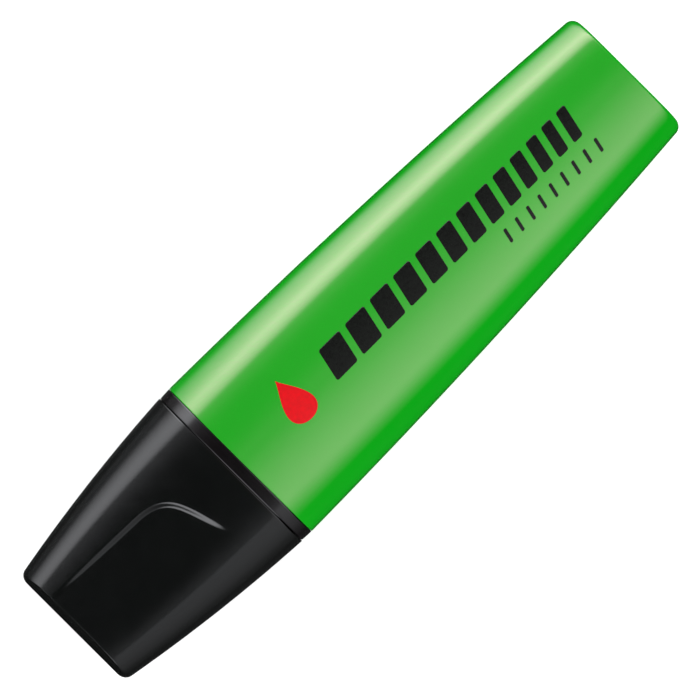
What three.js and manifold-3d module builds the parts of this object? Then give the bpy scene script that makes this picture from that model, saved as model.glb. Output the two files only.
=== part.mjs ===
// Flat chisel-tip highlighter with a pull-off cap, lying on one broad face with the cap on.
// Millimetres. +X runs along the pen from the cap's end to the barrel's tail, +Y across its width and
// +Z through its thickness. The origin is on the resting surface, under the middle of the pen.
import * as THREE from "three";
import { LoftGeometry } from "three/addons/geometries/LoftGeometry.js";
import { mergeVertices } from "three/addons/utils/BufferGeometryUtils.js";
import Module from "manifold-3d";

// ---- Driving dimensions ---------------------------------------------------------------------

const LENGTH = 105;
const WIDTH = 26.9; // at the collar, the widest place
const THICKNESS = 17; // at the collar, the thickest place
const CAP_LENGTH = 30;
const COLLAR_LENGTH = 1.55;
const CAP_GAP = 0.25; // the open seam between the cap's rim and the collar
const BARREL_GAP = 0.1; // the closed seam between the collar and the barrel

const CAP_END_WIDTH = 19.7;
const CAP_END_THICKNESS = 10.5;
const CAP_STRAIGHTNESS = 0.48; // share of the cap's taper that is straight, the rest is bowed
const TAIL_WIDTH = 20.6;
const TAIL_THICKNESS = 14;
const BARREL_STRAIGHTNESS = 0.22;

const CAP_WALL = 1.2;
const CAP_END_WALL = 1.6;
const BARREL_WALL = 1.3;
const FRONT_WALL = 1.2;
const END_ROUNDING = 1.2; // radius round the outside of both ends
const RIM_ROUNDING = 0.2;
const END_CHAMFER_LENGTH = 1.1; // flat bevel between the cap's broad faces and its end
const END_CHAMFER_DEPTH = 2.6;

const FLAT_SHARE = 0.11; // share of the width that is a flat strip along each broad face
const CORNER_SHARE = 0.68; // corner radius as a share of half the thickness
const CROWN_ANGLE = THREE.MathUtils.degToRad(8); // how far a broad face has turned at its edge
const SIDE_ANGLE = THREE.MathUtils.degToRad(6); // how far a side has turned at its edge

const COLLAR_EDGE = 0.1; // rounding of the collar's edge at the open seam
const BARREL_EDGE = 0.08; // rounding of the barrel's rim
const NECK_LENGTH = 9.1;
const NECK_CLEARANCE = 0.3; // between the neck and the inside of the cap
const NECK_EDGE = 0.5; // rounding where the neck turns into the shoulder
const SNAP_BEAD = { height: 0.16, length: 0.8, fromCollar: 3.6 };
const PLUG = { length: 11.8, clearance: 0.12, leadLength: 0.8, leadDepth: 0.3 };
const SHOULDER = { length: 2.8, edgeLength: 0.6, edgeDepth: 1.4 };
const SNOUT = { length: 7.8, width: 7.1, thickness: 5.5, taper: 0.3, edge: 0.4 };

const NIB = { width: 5, thickness: 3.4, corner: 0.5, length: 35.4 };
const NIB_REACH = 6.4; // how far the nib stands out of the snout
const NIB_CLEARANCE = 0.15;
const NIB_WRITING_EDGE = 2; // thickness left at the writing edge
const NIB_BEVEL_LENGTH = 4.8;
const NIB_SLANT = THREE.MathUtils.degToRad(30);
const NIB_POINT = { length: 2.5, depth: 0.9 }; // the pointed tail inside the reservoir
const VENT = { width: 0.7, depth: 0.5 }; // air grooves in the snout, above and below the nib

const INNER_CAP = { width: 9.3, thickness: 7.7, wall: 0.8, length: 12.4, edge: 0.4 };
const INNER_CAP_LIP = { length: 1.2, lead: 0.3, height: 0.25 };
const INNER_CAP_BOSS = { length: 2.5, wall: 0.7, clearance: 0.15 };
const INNER_CAP_GAP = 0.3; // between the inner cap and the cap's end wall

const WRAP = { width: 16, thickness: 9.8, wall: 0.25, length: 65.4 };
const CORE_CLEARANCE = 0.15; // between the fibre core and its wrap
const CORE_SHORTER = 0.2; // how far the wrap runs past each end of the core
const NIB_IN_RESERVOIR = 8;
const BREATHER = { radius: 0.8, bore: 0.45, groove: 1, clearance: 0.05 };
const RIB = { thickness: 1, spacing: 8, clearance: 0.15, fromPlug: 1.5 };

// The thumb recess, in millimetres back from the cap's rim and across the width.
const RECESS = {
  farEnd: [29, 4.5],
  bendStart: [14.1, 4.1],
  bendPulls: [9.4, 4, 8.6, 1.6],
  bendEnd: [7.6, -0.9],
  tip: [6.2, -5.2],
  lowSide: [29, -9],
  frontDepth: 0.5, // at the bend's end
  slopeAlong: 0.05, // depth lost per millimetre towards the cap's end
  slopeAcross: 0.1, // depth gained per millimetre towards the bend's side
};

// ---- Places along the pen, worked out from the dimensions -----------------------------------

const CAP_END_X = -LENGTH / 2;
const TAIL_X = LENGTH / 2;
const CAP_RIM_X = CAP_END_X + CAP_LENGTH - CAP_GAP / 2;
const COLLAR_FRONT_X = CAP_RIM_X + CAP_GAP;
const COLLAR_BACK_X = COLLAR_FRONT_X + COLLAR_LENGTH;
const BARREL_RIM_X = COLLAR_BACK_X + BARREL_GAP;
const PLUG_END_X = COLLAR_BACK_X + PLUG.length;
const NECK_FRONT_X = COLLAR_FRONT_X - NECK_LENGTH;
const SNOUT_BACK_X = NECK_FRONT_X - SHOULDER.length;
const SNOUT_FRONT_X = SNOUT_BACK_X - SNOUT.length;
const NIB_TIP_X = SNOUT_FRONT_X - NIB_REACH;
const NIB_TAIL_X = NIB_TIP_X + NIB.length;
const CORE_FRONT_X = NIB_TAIL_X - NIB_IN_RESERVOIR;
const WRAP_FRONT_X = CORE_FRONT_X - CORE_SHORTER;
const WRAP_BACK_X = WRAP_FRONT_X + WRAP.length;
const CORE_BACK_X = WRAP_BACK_X - CORE_SHORTER;
const CAP_INSIDE_END_X = CAP_END_X + CAP_END_WALL;
const INNER_CAP_END_X = CAP_INSIDE_END_X + INNER_CAP_GAP;
const INNER_CAP_MOUTH_X = INNER_CAP_END_X + INNER_CAP.length;
const BARREL_INSIDE_END_X = TAIL_X - BARREL_WALL;
const AXIS_Z = THICKNESS / 2;
const PAST = 1; // how far a cutting solid runs past what it cuts
const WELD = 1e-4; // vertices closer than this are one vertex
const ROUNDING_STEPS = 4; // facets round an end's edge
const LEAST_CORNER = 0.3; // smallest corner radius of a cross-section

// ---- Cross-sections ---------------------------------------------------------------------------------- 

// Points round one cross-section at x, seen from the tail: a flat strip and a shallow crown on each
// broad face, a wide corner radius, and slightly bowed sides, all tangent to each other.
function sectionAt(x, { halfWidth, halfThickness, corner }) {
  const flat = FLAT_SHARE * halfWidth;
  const crownSin = Math.sin(CROWN_ANGLE);
  const crownDrop = 1 - Math.cos(CROWN_ANGLE);
  const sideSin = Math.sin(SIDE_ANGLE);
  const sideDrop = 1 - Math.cos(SIDE_ANGLE);
  const across = halfWidth - flat - corner * (Math.cos(SIDE_ANGLE) - crownSin);
  const through = halfThickness - corner * (Math.cos(CROWN_ANGLE) - sideSin);
  const share = crownSin * sideSin - crownDrop * sideDrop;
  const crownRadius = (across * sideSin - through * sideDrop) / share;
  const sideRadius = (through * crownSin - across * crownDrop) / share;

  const arcs = [
    { radius: sideRadius, to: SIDE_ANGLE, steps: 2 },
    { radius: corner, to: Math.PI / 2 - CROWN_ANGLE, steps: 6 },
    { radius: crownRadius, to: Math.PI / 2, steps: 3 },
  ];
  const quarter = [[halfWidth, 0]];
  let angle = 0;
  let [y, z] = quarter[0];
  for (const { radius, to, steps } of arcs) {
    const from = angle;
    const [y0, z0] = [y - radius * Math.cos(from), z - radius * Math.sin(from)];
    for (let i = 1; i <= steps; i++) {
      angle = from + ((to - from) * i) / steps;
      [y, z] = [y0 + radius * Math.cos(angle), z0 + radius * Math.sin(angle)];
      quarter.push([y, z]);
    }
  }
  const upper = [...quarter, ...quarter.slice(1).reverse().map(([a, b]) => [-a, b])];
  const lower = upper.map(([a, b]) => [-a, -b]);
  const outline = [...upper, [-halfWidth, 0], ...lower.slice(1)];
  return outline.map(([a, b]) => new THREE.Vector3(x, a, AXIS_Z + b));
}

function inset(section, by) {
  return {
    halfWidth: section.halfWidth - by,
    halfThickness: section.halfThickness - by,
    corner: Math.max(section.corner - by, LEAST_CORNER),
  };
}

function bodySection(halfWidth, halfThickness) {
  return { halfWidth, halfThickness, corner: CORNER_SHARE * halfThickness };
}

// The outside of the cap, getting narrower and thinner from its rim to its end.
function capSection(x) {
  const u = (CAP_RIM_X - x) / (CAP_RIM_X - CAP_END_X);
  const bow = CAP_STRAIGHTNESS * u + (1 - CAP_STRAIGHTNESS) * u * u;
  return bodySection(
    THREE.MathUtils.lerp(WIDTH, CAP_END_WIDTH, bow) / 2,
    THREE.MathUtils.lerp(THICKNESS, CAP_END_THICKNESS, u) / 2,
  );
}

// The outside of the barrel, getting narrower and thinner from its rim to its tail.
function barrelSection(x) {
  const u = (x - BARREL_RIM_X) / (TAIL_X - BARREL_RIM_X);
  const bow = BARREL_STRAIGHTNESS * u + (1 - BARREL_STRAIGHTNESS) * u * u;
  return bodySection(
    THREE.MathUtils.lerp(WIDTH, TAIL_WIDTH, bow) / 2,
    THREE.MathUtils.lerp(THICKNESS, TAIL_THICKNESS, u) / 2,
  );
}

function ovalSection(width, thickness, corner = CORNER_SHARE * (thickness / 2)) {
  return { halfWidth: width / 2, halfThickness: thickness / 2, corner };
}

// ---- Solids ---------------------------------------------------------------------------------

const wasm = await Module();
wasm.setup();

function toSolid(geometry) {
  const bare = new THREE.BufferGeometry();
  bare.setAttribute("position", geometry.attributes.position);
  bare.setIndex(geometry.index);
  const welded = mergeVertices(bare, WELD);
  return new wasm.Manifold(
    new wasm.Mesh({
      numProp: 3,
      vertProperties: new Float32Array(welded.attributes.position.array),
      triVerts: new Uint32Array(welded.index.array),
    }),
  );
}

function toGeometry(solid) {
  const { numProp, numVert, vertProperties, triVerts } = solid.getMesh();
  const position = new Float32Array(numVert * 3);
  for (let i = 0; i < numVert; i++) {
    position.set(vertProperties.subarray(i * numProp, i * numProp + 3), i * 3);
  }
  const geometry = new THREE.BufferGeometry();
  geometry.setAttribute("position", new THREE.BufferAttribute(position, 3));
  geometry.setIndex(new THREE.BufferAttribute(triVerts, 1));
  geometry.computeVertexNormals();
  return geometry;
}

// A closed solid through cross-sections given as [x, section] pairs, in order of rising x.
function loft(stations) {
  const rings = stations.map(([x, section]) => sectionAt(x, section));
  return toSolid(new LoftGeometry(rings, { capStart: true, capEnd: true }));
}

function stations(fromX, toX, count, sectionOf) {
  return Array.from({ length: count + 1 }, (_, i) => {
    const x = THREE.MathUtils.lerp(fromX, toX, i / count);
    return [x, sectionOf(x)];
  });
}

// Stations round the edge of an end face, where inward is +1 or -1 along X, towards the solid.
function roundedEnd(endX, inward, sectionOf) {
  return Array.from({ length: ROUNDING_STEPS }, (_, i) => {
    const angle = (Math.PI / 2) * (i / ROUNDING_STEPS);
    const x = endX + inward * END_ROUNDING * (1 - Math.cos(angle));
    return [x, inset(sectionOf(x), END_ROUNDING * (1 - Math.sin(angle)))];
  });
}

function block([x0, x1], [y0, y1], [z0, z1]) {
  const box = new THREE.BoxGeometry(x1 - x0, y1 - y0, z1 - z0);
  box.translate((x0 + x1) / 2, (y0 + y1) / 2, (z0 + z1) / 2);
  return toSolid(box);
}

// A solid and its copy turned half a turn about the pen's own axis.
function onBothFaces(geometry) {
  const turned = geometry.clone();
  turned.translate(0, 0, -AXIS_Z).rotateX(Math.PI).translate(0, 0, AXIS_Z);
  return toSolid(geometry).add(toSolid(turned));
}

// ---- Cap ------------------------------------------------------------------------------------

// The cutter for one thumb recess: an outline extruded upwards from a floor that is a little less
// steep than the cap's broad face, so that the recess runs out towards the cap's end and low side.
function recessCutter() {
  const place = ([back, across]) => [CAP_RIM_X - back, across];
  const [pull1Back, pull1Across, pull2Back, pull2Across] = RECESS.bendPulls;
  const outline = new THREE.Shape();
  outline.moveTo(...place(RECESS.farEnd));
  outline.lineTo(...place(RECESS.lowSide));
  outline.lineTo(...place([RECESS.tip[0], RECESS.lowSide[1]]));
  outline.lineTo(...place(RECESS.tip));
  outline.lineTo(...place(RECESS.bendEnd));
  outline.bezierCurveTo(
    ...place([pull2Back, pull2Across]),
    ...place([pull1Back, pull1Across]),
    ...place(RECESS.bendStart),
  );
  const prism = new THREE.ExtrudeGeometry(outline, {
    depth: THICKNESS,
    bevelEnabled: false,
    curveSegments: 10,
  });

  const faceFall = (THICKNESS - CAP_END_THICKNESS) / 2 / (CAP_RIM_X - CAP_END_X);
  const [deepBack, deepAcross] = RECESS.bendEnd;
  const rim = new THREE.Vector2(CAP_RIM_X - deepBack, deepAcross);
  const floorZ = THICKNESS - faceFall * deepBack - RECESS.frontDepth;
  const alongX = faceFall - RECESS.slopeAlong;
  const tilt = new THREE.Matrix4().set(
    1, 0, 0, 0,
    0, 1, 0, 0,
    alongX, -RECESS.slopeAcross, 1, floorZ - alongX * rim.x + RECESS.slopeAcross * rim.y,
    0, 0, 0, 1,
  );
  return prism.applyMatrix4(tilt);
}

function endChamferCutter() {
  const size = 4 * END_CHAMFER_DEPTH;
  const wedge = new THREE.BoxGeometry(size, WIDTH, size);
  const slope = Math.atan2(END_CHAMFER_DEPTH, END_CHAMFER_LENGTH);
  wedge.translate(0, 0, size / 2).rotateY(-slope);
  return wedge.translate(CAP_END_X, 0, AXIS_Z + CAP_END_THICKNESS / 2 - END_CHAMFER_DEPTH);
}

function makeCap() {
  const shell = loft([
    ...roundedEnd(CAP_END_X, 1, capSection),
    ...stations(CAP_END_X + END_ROUNDING, CAP_RIM_X - RIM_ROUNDING, 8, capSection),
    [CAP_RIM_X, inset(capSection(CAP_RIM_X), RIM_ROUNDING)],
  ]);
  const inside = (x) => inset(capSection(x), CAP_WALL);
  const hollow = loft(stations(CAP_INSIDE_END_X, CAP_RIM_X + PAST, 7, inside));

  const { width, thickness } = INNER_CAP;
  const { clearance, wall } = INNER_CAP_BOSS;
  const socket = ovalSection(width + 2 * clearance, thickness + 2 * clearance);
  const bossBack = CAP_INSIDE_END_X - PAST / 2;
  const bossFront = CAP_INSIDE_END_X + INNER_CAP_BOSS.length;
  const bossOutside = inset(socket, -wall);
  const boss = loft([
    [bossBack, bossOutside],
    [bossFront, bossOutside],
  ]).subtract(
    loft([
      [CAP_INSIDE_END_X, socket],
      [bossFront + PAST, socket],
    ]),
  );
  const cut = onBothFaces(recessCutter()).add(onBothFaces(endChamferCutter()));
  return shell.subtract(hollow).add(boss).subtract(cut);
}

// The sealing liner pressed into the cap's end, which closes round the snout to keep the nib wet.
function makeInnerCap() {
  const outside = ovalSection(INNER_CAP.width, INNER_CAP.thickness);
  const inside = inset(outside, INNER_CAP.wall);
  const lip = inset(outside, -INNER_CAP_LIP.height);
  const lipX = INNER_CAP_MOUTH_X - INNER_CAP_LIP.length;
  return loft([
    [INNER_CAP_END_X, inset(outside, INNER_CAP.edge)],
    [INNER_CAP_END_X + INNER_CAP.edge, outside],
    [lipX, outside],
    [lipX + INNER_CAP_LIP.lead, lip],
    [INNER_CAP_MOUTH_X, lip],
  ]).subtract(
    loft([
      [INNER_CAP_END_X + INNER_CAP.wall, inside],
      [INNER_CAP_MOUTH_X + PAST, inside],
    ]),
  );
}

// ---- Front section, nib ---------------------------------------------------------------------

const neckSection = (x) => inset(capSection(x), CAP_WALL + NECK_CLEARANCE);
const plugSection = (x) => inset(barrelSection(x), BARREL_WALL + PLUG.clearance);
const nibBar = ovalSection(NIB.width, NIB.thickness, NIB.corner);
const nibBore = inset(nibBar, -NIB_CLEARANCE);

// The black moulding between barrel and cap: a plug inside the barrel, the collar that shows, the
// neck that the cap snaps on to, and a snout that grips the nib.
function makeFrontSection() {
  const collar = bodySection(WIDTH / 2, THICKNESS / 2);
  const snout = ovalSection(SNOUT.width, SNOUT.thickness);
  const neckFront = neckSection(NECK_FRONT_X);
  const beadX = COLLAR_FRONT_X - SNAP_BEAD.fromCollar;
  const beadTop = inset(neckSection(beadX), -SNAP_BEAD.height);
  const outside = loft([
    [SNOUT_FRONT_X, inset(snout, SNOUT.edge)],
    [SNOUT_FRONT_X + SNOUT.edge, snout],
    [SNOUT_BACK_X, inset(snout, -SNOUT.taper)],
    [NECK_FRONT_X - SHOULDER.edgeLength, inset(neckFront, SHOULDER.edgeDepth)],
    [NECK_FRONT_X, inset(neckFront, NECK_EDGE)],
    [NECK_FRONT_X + NECK_EDGE, neckSection(NECK_FRONT_X + NECK_EDGE)],
    [beadX - SNAP_BEAD.length, neckSection(beadX - SNAP_BEAD.length)],
    [beadX, beadTop],
    [beadX + SNAP_BEAD.length, neckSection(beadX + SNAP_BEAD.length)],
    [COLLAR_FRONT_X, neckSection(COLLAR_FRONT_X)],
    [COLLAR_FRONT_X, inset(collar, COLLAR_EDGE)],
    [COLLAR_FRONT_X + COLLAR_EDGE, collar],
    [COLLAR_BACK_X, collar],
    [COLLAR_BACK_X, plugSection(BARREL_RIM_X)],
    [PLUG_END_X - PLUG.leadLength, plugSection(PLUG_END_X)],
    [PLUG_END_X, inset(plugSection(PLUG_END_X), PLUG.leadDepth)],
  ]);
  const hollow = loft([
    [NECK_FRONT_X + FRONT_WALL, inset(neckFront, NECK_EDGE + FRONT_WALL)],
    [COLLAR_FRONT_X, inset(neckSection(COLLAR_FRONT_X), FRONT_WALL)],
    [COLLAR_BACK_X, inset(plugSection(COLLAR_BACK_X), FRONT_WALL)],
    [PLUG_END_X + PAST, inset(plugSection(PLUG_END_X), FRONT_WALL)],
  ]);
  const bore = loft([
    [SNOUT_FRONT_X - PAST, nibBore],
    [NECK_FRONT_X + FRONT_WALL + PAST, nibBore],
  ]);
  const ventReach = nibBore.halfThickness + VENT.depth;
  const vents = block(
    [SNOUT_FRONT_X - PAST, NECK_FRONT_X + FRONT_WALL + PAST],
    [-VENT.width / 2, VENT.width / 2],
    [AXIS_Z - ventReach, AXIS_Z + ventReach],
  );
  return outside.subtract(hollow).subtract(bore).subtract(vents);
}

// A bar of bonded fibre, cut at a slant and thinned to the writing edge at the front.
function makeNib() {
  const body = loft([
    [NIB_TIP_X, nibBar],
    [NIB_TAIL_X - NIB_POINT.length, nibBar],
    [NIB_TAIL_X, inset(nibBar, NIB_POINT.depth)],
  ]);

  const size = 4 * NIB_REACH;
  const slantCut = new THREE.BoxGeometry(size, size, size);
  slantCut.translate(-size / 2, 0, 0).rotateZ(-NIB_SLANT);
  slantCut.translate(NIB_TIP_X + (NIB.width / 2) * Math.tan(NIB_SLANT), 0, AXIS_Z);

  const bevelDrop = (NIB.thickness - NIB_WRITING_EDGE) / 2;
  const bevelCut = new THREE.BoxGeometry(size, size, size);
  bevelCut.translate(0, 0, size / 2).rotateY(-Math.atan2(bevelDrop, NIB_BEVEL_LENGTH));
  bevelCut.translate(NIB_TIP_X, 0, AXIS_Z + NIB_WRITING_EDGE / 2);
  return body.subtract(toSolid(slantCut)).subtract(onBothFaces(bevelCut));
}

// ---- Ink reservoir --------------------------------------------------------------------------

const coreHalfWidth = WRAP.width / 2 - WRAP.wall - CORE_CLEARANCE;
const breatherY = coreHalfWidth - BREATHER.clearance - BREATHER.radius;

function makeInkReservoir() {
  const coreOutside = inset(
    ovalSection(WRAP.width, WRAP.thickness),
    WRAP.wall + CORE_CLEARANCE,
  );
  const core = loft([
    [CORE_FRONT_X, coreOutside],
    [CORE_BACK_X, coreOutside],
  ]);
  const nibSocket = loft([
    [CORE_FRONT_X - PAST, nibBore],
    [NIB_TAIL_X + 2 * NIB_CLEARANCE, nibBore],
  ]);
  const groove = block(
    [CORE_FRONT_X - PAST, CORE_BACK_X + PAST],
    [breatherY - BREATHER.groove, WRAP.width],
    [AXIS_Z - BREATHER.groove, AXIS_Z + BREATHER.groove],
  );
  return core.subtract(nibSocket).subtract(groove);
}

function makeReservoirWrap() {
  const outside = ovalSection(WRAP.width, WRAP.thickness);
  const inside = inset(outside, WRAP.wall);
  return loft([
    [WRAP_FRONT_X, outside],
    [WRAP_BACK_X, outside],
  ]).subtract(
    loft([
      [WRAP_FRONT_X - PAST, inside],
      [WRAP_BACK_X + PAST, inside],
    ]),
  );
}

// An open tube lying in the core's groove: it lets air in behind the ink.
function breatherGeometry() {
  const { radius, bore } = BREATHER;
  const length = CORE_BACK_X - CORE_FRONT_X;
  const profile = [
    [bore, -length / 2],
    [radius, -length / 2],
    [radius, length / 2],
    [bore, length / 2],
    [bore, -length / 2],
  ];
  return new THREE.LatheGeometry(
    profile.map(([r, along]) => new THREE.Vector2(r, along)),
    12,
  );
}

// ---- Barrel ---------------------------------------------------------------------------------

// The coloured shell with its closed tail. Ribs inside it hold the reservoir centred and stop it.
function makeBarrel() {
  const outside = loft([
    [BARREL_RIM_X, inset(barrelSection(BARREL_RIM_X), BARREL_EDGE)],
    ...stations(BARREL_RIM_X + BARREL_EDGE, TAIL_X - END_ROUNDING, 12, barrelSection),
    ...roundedEnd(TAIL_X, -1, barrelSection).reverse(),
  ]);
  const inside = (x) => inset(barrelSection(x), BARREL_WALL);
  const hollow = loft(stations(BARREL_RIM_X - PAST, BARREL_INSIDE_END_X, 8, inside));

  const ribsFrom = PLUG_END_X + RIB.fromPlug;
  const along = [ribsFrom, BARREL_INSIDE_END_X + BARREL_WALL / 2];
  const clearOf = RIB.clearance + WRAP.thickness / 2;
  const [low, high] = [AXIS_Z - clearOf, AXIS_Z + clearOf];
  const side = RIB.clearance + WRAP.width / 2;
  const halfRib = RIB.thickness / 2;
  const ribs = [];
  for (const y of [-RIB.spacing / 2, RIB.spacing / 2]) {
    ribs.push(block(along, [y - halfRib, y + halfRib], [high, THICKNESS]));
    ribs.push(block(along, [y - halfRib, y + halfRib], [0, low]));
  }
  const middle = [AXIS_Z - halfRib, AXIS_Z + halfRib];
  ribs.push(block(along, [side, WIDTH / 2], middle));
  ribs.push(block(along, [-WIDTH / 2, -side], middle));
  const stop = [WRAP_BACK_X + RIB.clearance, along[1]];
  ribs.push(block(stop, [-WIDTH / 2, WIDTH / 2], middle));
  ribs.push(block(stop, [-halfRib, halfRib], [0, THICKNESS]));

  const core = loft(stations(ribsFrom - PAST, TAIL_X - BARREL_WALL / 2, 8, (x) =>
    inset(barrelSection(x), BARREL_WALL / 2),
  ));
  const insideRibs = ribs.reduce((all, rib) => all.add(rib)).intersect(core);
  return outside.subtract(hollow).add(insideRibs);
}

// ---- The pen --------------------------------------------------------------------------------

const finishes = {
  greenPlastic: { color: 0x2ba828, roughness: 0.32, metalness: 0 },
  blackPlastic: { color: 0x121213, roughness: 0.4, metalness: 0 },
  softBlackPlastic: { color: 0x1c1c1d, roughness: 0.5, metalness: 0 },
  greenFelt: { color: 0x6fe03a, roughness: 0.95, metalness: 0 },
  inkedFibre: { color: 0x57d02b, roughness: 0.95, metalness: 0 },
  clearFilm: { color: 0xdfe8e0, roughness: 0.25, metalness: 0 },
  clearTube: { color: 0xd8dcd8, roughness: 0.4, metalness: 0 },
};

function named(name, geometry, finish) {
  const mesh = new THREE.Mesh(geometry, new THREE.MeshStandardMaterial(finish));
  mesh.name = name;
  return mesh;
}

const pen = new THREE.Group();
pen.add(
  named("barrel", toGeometry(makeBarrel()), finishes.greenPlastic),
  named("front_section", toGeometry(makeFrontSection()), finishes.blackPlastic),
  named("nib", toGeometry(makeNib()), finishes.greenFelt),
  named("ink_reservoir", toGeometry(makeInkReservoir()), finishes.inkedFibre),
  named("reservoir_wrap", toGeometry(makeReservoirWrap()), finishes.clearFilm),
);

const breather = named("breather_tube", breatherGeometry(), finishes.clearTube);
breather.rotation.z = -Math.PI / 2;
breather.position.set((CORE_FRONT_X + CORE_BACK_X) / 2, breatherY, AXIS_Z);
pen.add(breather);

const capGroup = new THREE.Group();
capGroup.add(
  named("cap", toGeometry(makeCap()), finishes.blackPlastic),
  named("inner_cap", toGeometry(makeInnerCap()), finishes.softBlackPlastic),
);

const highlighter = new THREE.Group();
highlighter.add(pen, capGroup);

export default highlighter;
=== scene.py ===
"""The looks of a flat highlighter with a pull-off cap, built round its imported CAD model.

Lengths are millimetres unless a name ends in _M. X runs from the cap's end to the tail, Y across
the width and Z up. Every moulded piece is a loft: a path of cross-sections, each a row of
(x, half width, half thickness, corner radius), swept round the pen's own axis.
"""

import math

import bpy
import numpy as np
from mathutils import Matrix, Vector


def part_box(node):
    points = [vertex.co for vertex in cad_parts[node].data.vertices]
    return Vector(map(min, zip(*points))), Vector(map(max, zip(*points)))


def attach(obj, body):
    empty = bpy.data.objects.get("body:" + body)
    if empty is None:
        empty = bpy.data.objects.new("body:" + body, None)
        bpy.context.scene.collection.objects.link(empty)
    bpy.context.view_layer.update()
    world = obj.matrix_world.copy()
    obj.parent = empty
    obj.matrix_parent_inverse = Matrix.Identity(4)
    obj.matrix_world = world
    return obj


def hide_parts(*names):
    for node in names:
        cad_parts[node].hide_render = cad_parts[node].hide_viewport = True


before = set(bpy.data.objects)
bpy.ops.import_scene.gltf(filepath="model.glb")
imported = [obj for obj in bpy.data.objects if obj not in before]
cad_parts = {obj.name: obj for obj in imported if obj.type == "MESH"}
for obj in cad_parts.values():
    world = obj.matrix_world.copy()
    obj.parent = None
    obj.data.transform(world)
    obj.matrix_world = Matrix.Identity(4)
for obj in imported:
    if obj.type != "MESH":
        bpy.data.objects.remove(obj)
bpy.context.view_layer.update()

MM = 0.001

# ---- Sizes and places, from the CAD model --------------------------------------------------------


def cad_box(node):
    return [np.array(corner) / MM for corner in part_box(node)]


cap_low, cap_high = cad_box("cap")
barrel_low, barrel_high = cad_box("barrel")
front_low, front_high = cad_box("front_section")
nib_low, nib_high = cad_box("nib")
liner_low, liner_high = cad_box("inner_cap")
wrap_low, wrap_high = cad_box("reservoir_wrap")

WIDTH = front_high[1] - front_low[1]
THICKNESS = front_high[2] - front_low[2]
AXIS_Z = THICKNESS / 2
CAP_END_X, CAP_RIM_X = cap_low[0], cap_high[0]
BARREL_RIM_X, TAIL_X = barrel_low[0], barrel_high[0]
SNOUT_FRONT_X, PLUG_END_X = front_low[0], front_high[0]
NIB_TIP_X, NIB_TAIL_X = nib_low[0], nib_high[0]
NIB_HALF_WIDTH = (nib_high[1] - nib_low[1]) / 2
NIB_HALF_THICKNESS = (nib_high[2] - nib_low[2]) / 2
LINER_END_X, LINER_MOUTH_X = liner_low[0], liner_high[0]

# ---- Shape values that the CAD model shares ------------------------------------------------------

CAP_GAP = 0.1
BARREL_GAP = 0.1
COLLAR_FRONT_X = CAP_RIM_X + CAP_GAP
COLLAR_BACK_X = BARREL_RIM_X - BARREL_GAP
CAP_END_WIDTH = 19.7
CAP_END_THICKNESS = 10.5
CAP_STRAIGHTNESS = 0.48
TAIL_WIDTH = 20.6
TAIL_THICKNESS = 14
BARREL_STRAIGHTNESS = 0.22
CAP_WALL = 1.2
CAP_END_WALL = 1.6
BARREL_WALL = 1.3
FRONT_WALL = 1.2
END_CHAMFER_LENGTH = 1.1
END_CHAMFER_DEPTH = 2.6
FLAT_SHARE = 0.03
CORNER_SHARE = 0.68
RIM_CORNER_SHARE = 0.73
CAP_RIM_CORNER_SHARE = 0.67
CAP_END_CORNER_SHARE = 0.7
TAIL_CORNER_SHARE = 0.66
CROWN_ANGLE = math.radians(8)
SIDE_ANGLE = math.radians(6)
NECK_LENGTH = 9.1
NECK_CLEARANCE = 0.3
NECK_FRONT_X = COLLAR_FRONT_X - NECK_LENGTH
SHOULDER_LENGTH = 2.8
SNOUT_BACK_X = NECK_FRONT_X - SHOULDER_LENGTH
SNOUT = (3.55, 2.75)
SNAP_BEAD = {"height": 0.16, "half_length": 0.8, "from_collar": 3.6}
PLUG_CLEARANCE = 0.12
COLLAR_DRAFT = 0.09
COLLAR_LENGTH = COLLAR_BACK_X - COLLAR_FRONT_X
SMALLEST_CORNER = 0.3
NIB_CORNER = 0.5
NIB_CLEARANCE = 0.15
NIB_SLANT = math.radians(30)
NIB_BEVEL_LENGTH = 4.8
NIB_WRITING_EDGE = 2
VENT = {"half_width": 0.35, "depth": 0.5}
LINER = {"half_width": 4.65, "half_thickness": 3.85, "wall": 0.8}
RIB = {"thickness": 1, "spacing": 8, "clearance": 0.15, "from_plug": 1.5, "rows": 17}

# ---- Cross-sections ------------------------------------------------------------------------------


def bowed(start, end, straightness, u):
    return start + (end - start) * (straightness * u + (1 - straightness) * u * u)


def body_section(x, half_width, half_thickness, corner_share):
    return np.array([x, half_width, half_thickness, corner_share * half_thickness])


def cap_section(x):
    u = (CAP_RIM_X - x) / (CAP_RIM_X - CAP_END_X)
    half_width = bowed(WIDTH, CAP_END_WIDTH, CAP_STRAIGHTNESS, u) / 2
    share = bowed(CAP_RIM_CORNER_SHARE, CAP_END_CORNER_SHARE, 1, u)
    return body_section(x, half_width, bowed(THICKNESS, CAP_END_THICKNESS, 1, u) / 2, share)


def barrel_section(x):
    u = (x - BARREL_RIM_X) / (TAIL_X - BARREL_RIM_X)
    half_width = bowed(WIDTH, TAIL_WIDTH, BARREL_STRAIGHTNESS, u) / 2
    share = bowed(RIM_CORNER_SHARE, TAIL_CORNER_SHARE, 1, u)
    return body_section(x, half_width, bowed(THICKNESS, TAIL_THICKNESS, 1, u) / 2, share)


def collar_section(x):
    return body_section(x, WIDTH / 2, THICKNESS / 2, RIM_CORNER_SHARE)


def drafted_collar(from_front):
    """The collar's section this far behind its front, where it is smallest."""
    draft = COLLAR_DRAFT * (1 - from_front / COLLAR_LENGTH)
    return inset(collar_section(COLLAR_FRONT_X + from_front), draft)


def neck_section(x):
    return inset(cap_section(x), CAP_WALL + NECK_CLEARANCE)


def plug_section(x):
    return inset(barrel_section(x), BARREL_WALL + PLUG_CLEARANCE)


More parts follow.
